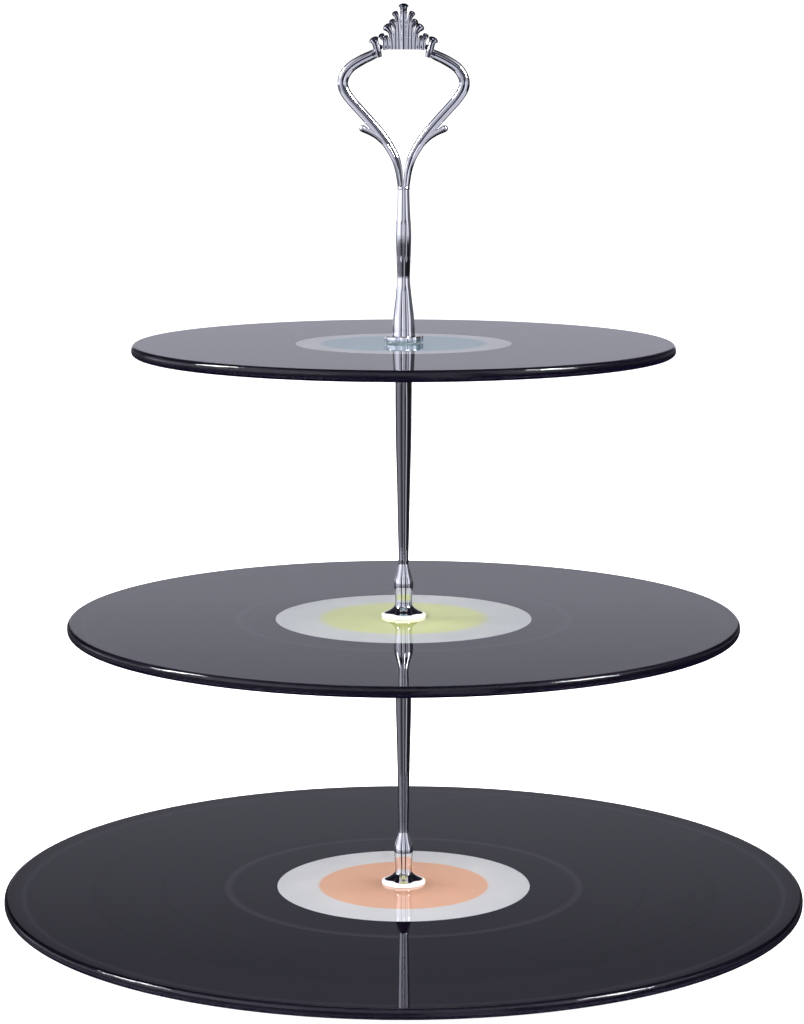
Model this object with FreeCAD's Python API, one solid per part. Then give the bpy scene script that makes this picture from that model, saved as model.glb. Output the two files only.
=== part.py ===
import FreeCAD, Part
import math
import os

from FreeCAD import Vector as V

# Three-tier cake stand: glass plates on a screwed post of chromed castings, with a crown handle.
# Millimetres. Origin: centre of the footprint at the level of the feet. +Z runs up the post,
# and the handle's loop lies in the XZ plane.

# ---- driving sizes ----
BOTTOM_DIAMETER = 304.8      # 12, 10 and 8 inch plates
MIDDLE_DIAMETER = 254.0
TOP_DIAMETER = 203.2
GLASS_THICKNESS = 4.0
EDGE_RADIUS = 1.5            # polished round edge of each glass plate
PLATE_HOLE_DIAMETER = 8.0

PRINT_THICKNESS = 0.2        # ink layer under the glass
PRINT_INSET = 0.3            # ink stops this far inside the flat of the glass
BOTTOM_RING_DIAMETER = 97.0
BOTTOM_DISC_DIAMETER = 66.0
MIDDLE_RING_DIAMETER = 97.0
MIDDLE_DISC_DIAMETER = 67.0
TOP_RING_DIAMETER = 80.7
TOP_DISC_DIAMETER = 63.6

FOOT_HEIGHT = 6.0
FOOT_DIAMETER = 14.0
FOOT_TAPER = 1.0             # loss of radius from the glass down to the table
FOOT_CIRCLE_RADIUS = 100.0

# M4 screw and studs
THREAD_DIAMETER = 4.0
THREAD_PITCH = 0.7
THREAD_DEPTH = 0.43
THREAD_ENGAGEMENT = 9.0
THREAD_CLEARANCE = 0.05      # on the radius, between a thread and its bore
BORE_EXTRA_DEPTH = 1.5       # bore beyond the thread's end
STUD_ROOT_LENGTH = 8.0       # stud fixed in the top of its pillar
SCREW_HEAD_DIAMETER = 8.0
SCREW_HEAD_HEIGHT = 2.6
SCREW_SLOT_WIDTH = 1.0
SCREW_SLOT_DEPTH = 1.2

WASHER_BORE_CLEARANCE = 0.15  # on the radius, around the thread
STEEL_WASHER_THICKNESS = 0.8
STEEL_WASHER_DIAMETER = 12.0
PLASTIC_WASHER_THICKNESS = 1.0
BASE_WASHER_DIAMETER = 16.6
PILLAR_WASHER_DIAMETER = 16.6
SEAT_WASHER_DIAMETER = 12.0
HANDLE_WASHER_THICKNESS = 0.4
HANDLE_WASHER_DIAMETER = 13.0

# castings
SIDES = 4                    # a narrow rib faces each side, and a wide lobe lies between ribs
RIB_HALF_ANGLE = 14.0        # degrees
FLUTE_SHARE = 0.1            # depth of the grooves between ribs and lobes, as a share of the local radius
FLANGE_DIAMETER = 14.7
FLANGE_HEIGHT = 2.2          # foot of the handle
FLANGE_CHAMFER = 0.4
PETAL_NOTCH_RADIUS = 5.5     # foot of a pillar: four petals that slope up to the shaft
PETAL_RIM_HEIGHT = 0.7
PETAL_RISE = 2.6
PETAL_NECK_RADIUS = 3.6
SHAFT_FOOT_RADIUS = 3.2      # the pillar's shaft where it stands on the petals
PILLAR_HEIGHT = 98.0
ARM_RADIUS = 1.85
CURL_RADIUS = 1.0
CURL_TIP_RADIUS = 1.35
CROWN_BAND_RADIUS = 1.6
CROWN_BAND_LENGTH = 18.6

# height above the casting's foot, radius across the lobes
PILLAR_BULB = [(8.0, 3.5), (11.3, 3.65), (15.5, 2.8), (20.5, 1.9)]
# share of the way from the neck above the bulb to the flare under the collar, radius across the lobes
PILLAR_TAPER = [(0.15, 2.15), (0.41, 2.5), (0.67, 2.95), (0.95, 3.1), (1.0, 3.1)]
PILLAR_COLLAR_RADIUS = 4.8   # top seat of a pillar, under the glass
PILLAR_COLLAR_HEIGHT = 3.0
PILLAR_FLARE_HEIGHT = 6.0    # from the shaft out to the collar
STEM_PROFILE = [(2.2, 4.35), (10.0, 4.0), (17.0, 3.1), (24.0, 2.45), (35.0, 2.95), (45.0, 2.65), (57.0, 2.3)]

# centre lines in the loop's plane, as x and height above the casting's foot
ARM_LINE = [(1.0, 55.0), (1.5, 61.5), (3.2, 68.2), (6.2, 74.0), (10.2, 79.2), (14.6, 84.0), (19.0, 88.6),
            (23.6, 94.8), (19.9, 101.6), (14.8, 104.6), (10.2, 106.4)]
CURL_LINE = [(1.2, 57.5), (2.4, 65.6), (5.2, 71.4), (9.6, 75.6), (14.9, 77.9)]

# crown leaves: foot x, tip x, tip height, tip radius
CROWN_FOOT_HEIGHT = 108.6
CENTRE_LEAF = (0.0, 0.0, 122.9, 1.7)
SIDE_LEAVES = [(1.3, 2.9, 120.4, 1.0), (2.6, 4.0, 117.8, 1.0), (4.0, 5.9, 115.7, 1.3), (6.2, 7.9, 112.7, 1.2),
               (9.7, 10.8, 110.9, 1.5)]
LEAF_FOOT_RADIUS = 1.1

# ---- levels that follow ----
THREAD_RADIUS = THREAD_DIAMETER / 2
BORE_RADIUS = THREAD_RADIUS + THREAD_CLEARANCE
BORE_DEPTH = THREAD_ENGAGEMENT + BORE_EXTRA_DEPTH
WASHER_BORE_RADIUS = THREAD_RADIUS + WASHER_BORE_CLEARANCE
PLATE_STACK = PRINT_THICKNESS + GLASS_THICKNESS
BOTTOM_Z = FOOT_HEIGHT
LOWER_PILLAR_Z = BOTTOM_Z + PLATE_STACK + PLASTIC_WASHER_THICKNESS
MIDDLE_Z = LOWER_PILLAR_Z + PILLAR_HEIGHT + PLASTIC_WASHER_THICKNESS
UPPER_PILLAR_Z = MIDDLE_Z + PLATE_STACK + PLASTIC_WASHER_THICKNESS
TOP_Z = UPPER_PILLAR_Z + PILLAR_HEIGHT + PLASTIC_WASHER_THICKNESS
HANDLE_Z = TOP_Z + PLATE_STACK + HANDLE_WASHER_THICKNESS


def disc(diameter, height, z):
    """A plain round disc standing on height z."""
    return Part.makeCylinder(diameter / 2, height, V(0, 0, z))


def ring(outer, inner, height, z):
    """A flat ring between two diameters."""
    return disc(outer, height, z).cut(disc(inner, height, z))


def turned(points):
    """A solid of revolution about Z from points given as (radius, z)."""
    wire = Part.makePolygon([V(r, 0, z) for r, z in points + points[:1]])
    return Part.Face(wire).revolve(V(0, 0, 0), V(0, 0, 1), 360)


# ---- plates and feet ----
def glass_plate(diameter, z):
    """A glass disc with round polished edges and a plain centre hole."""
    plate = disc(diameter, GLASS_THICKNESS, z + PRINT_THICKNESS)
    rims = [e for e in plate.Edges if isinstance(e.Curve, Part.Circle)]
    plate = plate.makeFillet(EDGE_RADIUS, rims)
    return plate.cut(disc(PLATE_HOLE_DIAMETER, GLASS_THICKNESS, z + PRINT_THICKNESS))


def plate_parts(tier, diameter, ring_diameter, disc_diameter, z):
    """A plate with the three printed areas under it, by node name."""
    print_diameter = diameter - 2 * (EDGE_RADIUS + PRINT_INSET)
    return {
        tier + "_plate": glass_plate(diameter, z),
        tier + "_print": ring(print_diameter, ring_diameter, PRINT_THICKNESS, z),
        tier + "_label_ring": ring(ring_diameter, disc_diameter, PRINT_THICKNESS, z),
        tier + "_label_disc": ring(disc_diameter, PLATE_HOLE_DIAMETER, PRINT_THICKNESS, z),
    }


def rubber_foot(index):
    """One bumper foot, narrower at the table, under the bottom plate."""
    angle = math.radians(45 + 90 * index)
    place = V(FOOT_CIRCLE_RADIUS * math.cos(angle), FOOT_CIRCLE_RADIUS * math.sin(angle), 0)
    return Part.makeCone(FOOT_DIAMETER / 2 - FOOT_TAPER, FOOT_DIAMETER / 2, FOOT_HEIGHT, place)


# ---- fasteners ----
def thread(z, length):
    """A threaded rod from z upwards: a row of ridges, one to each pitch, on the root diameter."""
    root = THREAD_RADIUS - THREAD_DEPTH
    points = [(0, z), (root, z)]
    for turn in range(int(length / THREAD_PITCH)):
        start = z + turn * THREAD_PITCH
        points.append((root, start + 0.1 * THREAD_PITCH))
        points.append((THREAD_RADIUS, start + 0.45 * THREAD_PITCH))
        points.append((THREAD_RADIUS, start + 0.55 * THREAD_PITCH))
        points.append((root, start + 0.9 * THREAD_PITCH))
    points += [(root, z + length), (0, z + length)]
    return turned(points)


def base_screw():
    """Slotted pan-head screw, driven from below into the lower pillar."""
    seat = BOTTOM_Z - PLASTIC_WASHER_THICKNESS - STEEL_WASHER_THICKNESS
    tip = LOWER_PILLAR_Z + THREAD_ENGAGEMENT
    foot = seat - SCREW_HEAD_HEIGHT
    outer = SCREW_HEAD_DIAMETER / 2
    head = turned([(0, foot), (0.6 * outer, foot), (0.9 * outer, foot + 0.3 * SCREW_HEAD_HEIGHT),
                   (outer, foot + 0.6 * SCREW_HEAD_HEIGHT), (outer, seat), (0, seat)])
    slot = Part.makeBox(SCREW_HEAD_DIAMETER, SCREW_SLOT_WIDTH, SCREW_SLOT_DEPTH,
                        V(-outer, -SCREW_SLOT_WIDTH / 2, foot))
    return head.cut(slot).fuse(thread(seat, tip - seat)).removeSplitter()


def stud(pillar_z, gap_above):
    """Threaded stud fixed in a pillar's top and reaching into the casting above."""
    top = pillar_z + PILLAR_HEIGHT
    start = top - STUD_ROOT_LENGTH
    return thread(start, top + gap_above + THREAD_ENGAGEMENT - start)


def washer(diameter, thickness, z):
    """A flat washer around the thread."""
    return ring(diameter, 2 * WASHER_BORE_RADIUS, thickness, z)


# ---- castings ----
def arc_spots(spots, z):
    """An arc at height z through three spots given as (radius, angle in degrees)."""
    points = [V(r * math.cos(math.radians(a)), r * math.sin(math.radians(a)), z) for r, a in spots]
    return Part.Arc(*points).toShape()


def fluted_wire(radius, z):
    """A closed outline of narrow ribs and wide lobes in turn, with a rib facing -Y."""
    groove = radius * (1 - FLUTE_SHARE)
    edges = []
    for side in range(SIDES):
        rib = -90 + side * 360 / SIDES
        start, end = rib - RIB_HALF_ANGLE, rib + RIB_HALF_ANGLE
        onward = start + 360 / SIDES
        edges.append(arc_spots([(groove, start), (radius, rib), (groove, end)], z))
        edges.append(arc_spots([(groove, end), (radius, (end + onward) / 2), (groove, onward)], z))
    return Part.Wire(edges)


def petal_wire(radius, notch, z):
    """A closed outline of four petals, one of them facing -Y."""
    half = 180 / SIDES
    middles = [-90 + side * 2 * half for side in range(SIDES)]
    return Part.Wire([arc_spots([(notch, m - half), (radius, m), (notch, m + half)], z) for m in middles])


def fluted_shaft(profile, z):
    """A fluted shaft through the radii of a profile, standing on height z."""
    return Part.makeLoft([fluted_wire(radius, z + height) for height, radius in profile], True, False)


def petal_foot(z):
    """The foot of a pillar: a thin plate of four petals, and their slope up to the shaft."""
    outer = FLANGE_DIAMETER / 2
    rim = z + PETAL_RIM_HEIGHT
    neck = PETAL_NECK_RADIUS
    plate = Part.Face(petal_wire(outer, PETAL_NOTCH_RADIUS, z)).extrude(V(0, 0, PETAL_RIM_HEIGHT))
    slope = Part.makeLoft([petal_wire(outer, PETAL_NOTCH_RADIUS, rim), petal_wire(neck, neck, rim + PETAL_RISE)],
                          True, True)
    return plate.fuse(slope)


def fluted_flange(z):
    """The foot of the handle: the stem's outline at the flange's size, with a bevel around its upper rim."""
    outer = FLANGE_DIAMETER / 2
    shoulder = z + FLANGE_HEIGHT - FLANGE_CHAMFER
    wall = Part.Face(fluted_wire(outer, z)).extrude(V(0, 0, shoulder - z))
    bevel = Part.makeLoft([fluted_wire(outer, shoulder), fluted_wire(outer - FLANGE_CHAMFER, z + FLANGE_HEIGHT)],
                          True, True)
    return wall.fuse(bevel)


def threaded_bore(z):
    """The space of the blind bore in a casting's foot, with a cone where the drill stopped."""
    hole = Part.makeCylinder(BORE_RADIUS, BORE_DEPTH, V(0, 0, z))
    return hole.fuse(Part.makeCone(BORE_RADIUS, 0, BORE_RADIUS / 2, V(0, 0, z + BORE_DEPTH)))


def pillar(z):
    """A fluted pillar with a petal foot, a round seat on top, a bore below and a stud hole above."""
    top = z + PILLAR_HEIGHT
    collar = top - PILLAR_COLLAR_HEIGHT
    flare = collar - PILLAR_FLARE_HEIGHT
    shaft_radius = PILLAR_TAPER[-1][1]
    neck = PILLAR_BULB[-1][0]
    taper = [(neck + share * (flare - z - neck), radius) for share, radius in PILLAR_TAPER]
    foot = [(PETAL_RIM_HEIGHT + PETAL_RISE, SHAFT_FOOT_RADIUS)]
    shaft = fluted_shaft(foot + PILLAR_BULB + taper, z)
    seat = turned([(0, flare), (0.95 * shaft_radius, flare), (PILLAR_COLLAR_RADIUS, collar),
                   (PILLAR_COLLAR_RADIUS, top), (0, top)])
    stud_hole = Part.makeCylinder(THREAD_RADIUS, STUD_ROOT_LENGTH, V(0, 0, top - STUD_ROOT_LENGTH))
    body = petal_foot(z).fuse(shaft).fuse(seat)
    return body.cut(threaded_bore(z)).cut(stud_hole).removeSplitter()


def tangent_path(points):
    """Straight runs joined by tangent arcs through a list of (x, z) points in the loop's plane."""
    spots = [V(x, 0, z) for x, z in points]
    edges = []
    last = spots[0]
    for before, corner, after in zip(spots, spots[1:], spots[2:]):
        back = (before - corner).normalize()
        onward = (after - corner).normalize()
        trim = 0.45 * min((before - corner).Length, (after - corner).Length)
        start = corner + back * trim
        end = corner + onward * trim
        half = back.getAngle(onward) / 2
        inward = (back + onward).normalize()
        centre = corner + inward * (trim / math.cos(half))
        middle = centre - inward * (trim * math.tan(half))
        edges.append(Part.LineSegment(last, start).toShape())
        edges.append(Part.Arc(start, middle, end).toShape())
        last = end
    edges.append(Part.LineSegment(last, spots[-1]).toShape())
    return Part.Wire(edges)


def rod(points, radius):
    """A round rod along a tangent path, with a ball at its far end."""
    path = tangent_path(points)
    start, following = V(points[0][0], 0, points[0][1]), V(points[1][0], 0, points[1][1])
    circle = Part.Wire(Part.makeCircle(radius, start, following - start))
    tube = path.makePipeShell([circle], True, False)
    return tube.fuse(Part.makeSphere(radius, V(points[-1][0], 0, points[-1][1])))


def leaf(foot_x, tip_x, tip_height, tip_radius):
    """One leaf of the crown: a cone that widens to a round tip, flattened across the loop's plane."""
    foot = V(foot_x, 0, CROWN_FOOT_HEIGHT)
    tip = V(tip_x, 0, tip_height)
    blade = Part.makeCone(LEAF_FOOT_RADIUS, tip_radius, (tip - foot).Length, foot, tip - foot)
    return blade.fuse(Part.makeSphere(tip_radius, tip))


def mirrored(points, side):
    """Points of a centre line on one side of the axis."""
    return [(side * x, z) for x, z in points]


def handle_loop():
    """The two arms with their side curls, and the crown between the arms' ends."""
    pieces = []
    for side in (-1, 1):
        curl_tip = CURL_LINE[-1]
        pieces.append(rod(mirrored(ARM_LINE, side), ARM_RADIUS))
        pieces.append(rod(mirrored(CURL_LINE, side), CURL_RADIUS))
        pieces.append(Part.makeSphere(CURL_TIP_RADIUS, V(side * curl_tip[0], 0, curl_tip[1])))
        pieces += [leaf(side * foot, side * tip, height, radius) for foot, tip, height, radius in SIDE_LEAVES]
    half = CROWN_BAND_LENGTH / 2
    pieces.append(leaf(*CENTRE_LEAF))
    pieces.append(Part.makeCylinder(CROWN_BAND_RADIUS, 2 * half, V(-half, 0, CROWN_FOOT_HEIGHT), V(1, 0, 0)))
    return pieces


def crown_handle():
    """The top casting: lobed foot, fluted stem, open loop and crown."""
    stem = fluted_shaft(STEM_PROFILE, 0)
    body = fluted_flange(0).fuse([stem] + handle_loop())
    body = body.cut(threaded_bore(0)).removeSplitter()
    body.translate(V(0, 0, HANDLE_Z))
    return body


def all_parts():
    """Every node of the stand, by name."""
    parts = {"rubber_foot_" + str(index + 1): rubber_foot(index) for index in range(4)}
    parts.update(plate_parts("bottom", BOTTOM_DIAMETER, BOTTOM_RING_DIAMETER, BOTTOM_DISC_DIAMETER, BOTTOM_Z))
    parts.update(plate_parts("middle", MIDDLE_DIAMETER, MIDDLE_RING_DIAMETER, MIDDLE_DISC_DIAMETER, MIDDLE_Z))
    parts.update(plate_parts("top", TOP_DIAMETER, TOP_RING_DIAMETER, TOP_DISC_DIAMETER, TOP_Z))
    gap = PLASTIC_WASHER_THICKNESS + PLATE_STACK
    base_seat = BOTTOM_Z - PLASTIC_WASHER_THICKNESS
    parts["base_plastic_washer"] = washer(BASE_WASHER_DIAMETER, PLASTIC_WASHER_THICKNESS, base_seat)
    parts["base_steel_washer"] = washer(STEEL_WASHER_DIAMETER, STEEL_WASHER_THICKNESS,
                                        base_seat - STEEL_WASHER_THICKNESS)
    parts["base_screw"] = base_screw()
    parts["lower_washer"] = washer(PILLAR_WASHER_DIAMETER, PLASTIC_WASHER_THICKNESS, BOTTOM_Z + PLATE_STACK)
    parts["lower_pillar"] = pillar(LOWER_PILLAR_Z)
    parts["lower_stud"] = stud(LOWER_PILLAR_Z, gap + PLASTIC_WASHER_THICKNESS)
    parts["middle_seat_washer"] = washer(SEAT_WASHER_DIAMETER, PLASTIC_WASHER_THICKNESS,
                                         MIDDLE_Z - PLASTIC_WASHER_THICKNESS)
    parts["upper_washer"] = washer(PILLAR_WASHER_DIAMETER, PLASTIC_WASHER_THICKNESS, MIDDLE_Z + PLATE_STACK)
    parts["upper_pillar"] = pillar(UPPER_PILLAR_Z)
    parts["upper_stud"] = stud(UPPER_PILLAR_Z, gap + HANDLE_WASHER_THICKNESS)
    parts["top_seat_washer"] = washer(SEAT_WASHER_DIAMETER, PLASTIC_WASHER_THICKNESS,
                                      TOP_Z - PLASTIC_WASHER_THICKNESS)
    parts["handle_washer"] = washer(HANDLE_WASHER_DIAMETER, HANDLE_WASHER_THICKNESS, TOP_Z + PLATE_STACK)
    parts["crown_handle"] = crown_handle()
    return parts


os.makedirs("parts", exist_ok=True)
for node, shape in all_parts().items():
    shape.exportStep("parts/" + node + ".step")
    print(node, len(shape.Solids), round(shape.Volume, 1), shape.isValid())
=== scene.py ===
import logging
import math
from collections.abc import Callable, Sequence
from dataclasses import dataclass, field
from enum import Enum

import bmesh
import bpy
from mathutils import Matrix, Vector


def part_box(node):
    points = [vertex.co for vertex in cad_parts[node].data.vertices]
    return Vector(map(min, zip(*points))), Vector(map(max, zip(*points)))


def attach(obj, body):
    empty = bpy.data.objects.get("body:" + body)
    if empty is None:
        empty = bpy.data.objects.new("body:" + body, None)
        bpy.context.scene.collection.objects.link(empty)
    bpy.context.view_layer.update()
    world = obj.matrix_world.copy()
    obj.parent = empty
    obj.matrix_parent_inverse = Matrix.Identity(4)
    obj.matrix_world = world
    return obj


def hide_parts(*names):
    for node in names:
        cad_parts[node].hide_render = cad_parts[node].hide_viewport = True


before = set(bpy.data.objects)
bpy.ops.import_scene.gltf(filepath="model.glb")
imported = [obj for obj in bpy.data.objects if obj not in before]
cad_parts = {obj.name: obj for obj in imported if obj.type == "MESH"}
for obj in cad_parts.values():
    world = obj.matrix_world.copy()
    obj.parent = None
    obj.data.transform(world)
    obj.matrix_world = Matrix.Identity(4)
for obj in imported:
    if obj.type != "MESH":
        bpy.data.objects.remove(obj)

log = logging.getLogger("cake_stand")

MM = 0.001
SEAM = 1e-6                 # points closer than this are one point
SAME_ANGLE = 0.01           # degrees; angles closer than this are one angle
LINE_REACH = 0.4            # degrees; points nearer to a fluting line than this are on it


# ---------------------------------------------------------------- bench tools
Outline = Sequence[tuple[float, float]]
Test = Callable[[Vector], bool]


def deselect_all() -> None:
    """Leaves nothing selected, so that an operator acts only on the next piece."""
    bpy.ops.object.select_all(action="DESELECT")


def open_ring(name: str, radius: float, height: float, segments: int) -> bpy.types.Object:
    """Starts a piece as one ring of points, in edit mode with the ring selected.

    Args:
        name: name of the new piece.
        radius: radius of the ring, in metres.
        height: height of the ring, in metres.
        segments: number of points.

    Returns:
        The new object, still in edit mode.
    """
    deselect_all()
    bpy.ops.mesh.primitive_circle_add(vertices=segments, radius=radius)
    piece = bpy.context.active_object
    piece.name = piece.data.name = name
    bpy.ops.object.mode_set(mode="EDIT")
    bpy.context.tool_settings.mesh_select_mode = (True, False, False)
    bpy.ops.mesh.select_all(action="SELECT")
    bpy.ops.transform.translate(value=(0, 0, height))
    return piece


def pick(test: Test) -> int:
    """Selects the points of the open piece that pass a test.

    Args:
        test: takes a point's place and says whether it is wanted.

    Returns:
        The number of points picked.
    """
    mesh = bmesh.from_edit_mesh(bpy.context.edit_object.data)
    for face in mesh.faces:
        face.select_set(False)
    for edge in mesh.edges:
        edge.select_set(False)
    count = 0
    for point in mesh.verts:
        wanted = test(point.co)
        point.select_set(wanted)
        count += wanted
    mesh.select_flush(True)
    bmesh.update_edit_mesh(bpy.context.edit_object.data)
    return count


def line_faces(piece: bpy.types.Object, material: bpy.types.Material, test: Test) -> None:
    """Gives a piece's faces whose middles pass a test a second material.

    Args:
        piece: the finished piece, already dressed in its first material.
        material: the second material.
        test: takes a face's middle and says whether it is wanted.
    """
    piece.data.materials.append(material)
    deselect_all()
    piece.select_set(True)
    bpy.context.view_layer.objects.active = piece
    bpy.ops.object.mode_set(mode="EDIT")
    bpy.context.tool_settings.mesh_select_mode = (False, False, True)
    mesh = bmesh.from_edit_mesh(piece.data)
    for face in mesh.faces:
        face.select_set(test(face.calc_center_median()))
    bmesh.update_edit_mesh(piece.data)
    piece.active_material_index = 1
    bpy.ops.object.material_slot_assign()
    bpy.ops.object.mode_set(mode="OBJECT")


def grow(radius_share: float, rise: float) -> None:
    """Extrudes the selected ring upwards and widens it about the Z axis."""
    bpy.ops.mesh.extrude_region_move(TRANSFORM_OT_translate={"value": (0, 0, rise)})
    bpy.ops.transform.resize(value=(radius_share, radius_share, 1), center_override=(0, 0, 0))


def finish_piece(piece: bpy.types.Object, smooth_angle: float = 35.0) -> bpy.types.Object:
    """Closes holes, merges doubles, turns faces outwards, leaves edit mode and shades the piece.

    Args:
        piece: the piece, in edit mode.
        smooth_angle: edges sharper than this, in degrees, stay sharp.

    Returns:
        The same piece.
    """
    bpy.ops.mesh.select_all(action="SELECT")
    bpy.ops.mesh.remove_doubles(threshold=SEAM)
    bpy.ops.mesh.select_all(action="DESELECT")
    bpy.ops.mesh.select_non_manifold(extend=False)
    bpy.ops.mesh.fill_holes(sides=0)
    bpy.ops.mesh.select_all(action="SELECT")
    bpy.ops.mesh.normals_make_consistent(inside=False)
    bpy.ops.object.mode_set(mode="OBJECT")
    deselect_all()
    piece.select_set(True)
    bpy.context.view_layer.objects.active = piece
    bpy.ops.object.shade_smooth_by_angle(angle=math.radians(smooth_angle))
    return piece


def lathe(name: str, outline: Outline, segments: int, closed: bool) -> bpy.types.Object:
    """Turns an outline about the Z axis, ring by ring, and stays in edit mode.

    Args:
        name: name of the new piece.
        outline: (radius, height) of each ring in metres; only the last may lie on the axis.
        segments: points round each ring.
        closed: True joins the last ring to the first, for a piece with a hole through it.

    Returns:
        The new object, still in edit mode.
    """
    radius, height = outline[0]
    piece = open_ring(name, radius, height, segments)
    rings = list(outline[1:]) + ([outline[0]] if closed else [])
    for next_radius, next_height in rings:
        grow(next_radius / radius, next_height - height)
        radius, height = next_radius, next_height
    return piece


def arc(centre: tuple[float, float], radius: float, start: float, end: float, steps: int) -> list:
    """Points of an arc in an outline.

    Args:
        centre: (radius, height) of the arc's centre.
        radius: the arc's own radius.
        start: first angle in degrees, 0 pointing away from the axis and 90 pointing up.
        end: last angle in degrees.
        steps: number of steps from start to end.

    Returns:
        A list of (radius, height).
    """
    angles = [math.radians(start + (end - start) * step / steps) for step in range(steps + 1)]
    return [(centre[0] + radius * math.cos(a), centre[1] + radius * math.sin(a)) for a in angles]


def through(points: Sequence[Sequence[float]], steps: int) -> list[tuple[float, ...]]:
    """A smooth run of points through given ones, by Catmull-Rom.

    Args:
        points: the points to pass through, each a tuple of any length.
        steps: number of steps between two given points.

    Returns:
        The denser list of points, the given ones among them.
    """
    ends = [points[0], *points, points[-1]]
    run = []
    for before, start, end, after in zip(ends, ends[1:], ends[2:], ends[3:]):
        for step in range(steps):
            t = step / steps
            run.append(tuple(0.5 * (2 * b + (c - a) * t + (2 * a - 5 * b + 4 * c - d) * t * t
                                    + (3 * b - a - 3 * c + d) * t ** 3)
                             for a, b, c, d in zip(before, start, end, after)))
    run.append(tuple(points[-1]))
    return run


def join(pieces: Sequence[bpy.types.Object], name: str) -> bpy.types.Object:
    """Makes one object of several, under a new name."""
    deselect_all()
    for piece in pieces:
        piece.select_set(True)
    bpy.context.view_layer.objects.active = pieces[0]
    bpy.ops.object.join()
    whole = bpy.context.active_object
    whole.name = whole.data.name = name
    return whole


# ---------------------------------------------------------------- finishes
Colour = tuple[float, float, float]
Socket = bpy.types.NodeSocket


class Nodes:
    """A node tree, with short ways to add and wire its nodes."""

    def __init__(self, tree: bpy.types.NodeTree) -> None:
        """Keeps the tree."""
        self.tree = tree

    def add(self, kind: str, **settings: object) -> bpy.types.Node:
        """Adds a node and sets its properties."""
        node = self.tree.nodes.new(kind)
        for key, value in settings.items():
            setattr(node, key, value)
        return node

    def wire(self, source: Socket, target: Socket) -> None:
        """Joins two sockets."""
        self.tree.links.new(source, target)

    def ramp(self, value: Socket, stops: Sequence[tuple[float, Colour]]) -> Socket:
        """Adds a colour ramp with (position, colour) stops and returns its colour."""
        node = self.add("ShaderNodeValToRGB")
        self.wire(value, node.inputs["Fac"])
        elements = node.color_ramp.elements
        while len(elements) < len(stops):
            elements.new(0.5)
        for element, (position, colour) in zip(elements, stops):
            element.position = position
            element.color = (*colour, 1)
        return node.outputs["Color"]

    def greys(self, value: Socket, stops: Outline, tint: Colour = (1.0, 1.0, 1.0)) -> Socket:
        """Adds a ramp of greys from (position, level) stops, tinted or not, and returns its colour."""
        return self.ramp(value, [(position, tuple(part * level for part in tint))
                                 for position, level in stops])

    def shaded(self, colour: Socket, shade: Socket) -> Socket:
        """Multiplies a colour by a shade and returns the result."""
        node = self.add("ShaderNodeMix", data_type="RGBA", blend_type="MULTIPLY")
        node.inputs["Factor"].default_value = 1.0
        self.wire(colour, node.inputs["A"])
        self.wire(shade, node.inputs["B"])
        return node.outputs["Result"]


class Graph(Nodes):
    """The node tree of one material, with short ways to make its textures."""

    def __init__(self, name: str) -> None:
        """Makes a material with an empty shader, ready for its sockets."""
        self.material = bpy.data.materials.new(name)
        self.material.use_nodes = True
        super().__init__(self.material.node_tree)
        self.shader = self.tree.nodes["Principled BSDF"]
        self.place = self.add("ShaderNodeTexCoord").outputs["Object"]

    def set(self, **sockets: object) -> None:
        """Sets the shader's own sockets, with underscores for the spaces in their names."""
        for key, value in sockets.items():
            self.shader.inputs[key.replace("_", " ")].default_value = value

    def maths(self, operation: str, first: object, second: object = 0.0) -> Socket:
        """Adds a Math node on sockets or numbers and returns its output."""
        node = self.add("ShaderNodeMath", operation=operation)
        for slot, value in zip(node.inputs, (first, second)):
            if isinstance(value, Socket):
                self.wire(value, slot)
            else:
                slot.default_value = value
        return node.outputs[0]

    def noise(self, scale: float, detail: float = 3.0) -> Socket:
        """Adds noise on object coordinates; scale is in features per metre."""
        node = self.add("ShaderNodeTexNoise")
        node.inputs["Scale"].default_value = scale
        node.inputs["Detail"].default_value = detail
        self.wire(self.place, node.inputs["Vector"])
        return node.outputs["Fac"]

    def radius(self) -> Socket:
        """The distance from the Z axis, in metres."""
        flat = self.add("ShaderNodeVectorMath", operation="MULTIPLY")
        flat.inputs[1].default_value = (1, 1, 0)
        self.wire(self.place, flat.inputs[0])
        length = self.add("ShaderNodeVectorMath", operation="LENGTH")
        self.wire(flat.outputs[0], length.inputs[0])
        return length.outputs["Value"]

    def mix(self, share: Socket, first: Colour, second: Colour) -> Socket:
        """Blends two colours by a share and returns the result."""
        node = self.add("ShaderNodeMix", data_type="RGBA")
        node.inputs["A"].default_value = (*first, 1)
        node.inputs["B"].default_value = (*second, 1)
        self.wire(share, node.inputs["Factor"])
        return node.outputs["Result"]

    def between(self, value: Socket, low: float, high: float) -> Socket:
        """Maps 0..1 to low..high."""
        node = self.add("ShaderNodeMapRange")
        node.inputs["To Min"].default_value = low
        node.inputs["To Max"].default_value = high
        self.wire(value, node.inputs["Value"])
        return node.outputs["Result"]

    def bump(self, height: Socket, strength: float, distance: float) -> None:
        """Adds a bump to the shader's normal; distance is in metres."""
        node = self.add("ShaderNodeBump")
        node.inputs["Strength"].default_value = strength
        node.inputs["Distance"].default_value = distance
        self.wire(height, node.inputs["Height"])
        self.wire(node.outputs["Normal"], self.shader.inputs["Normal"])


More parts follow.
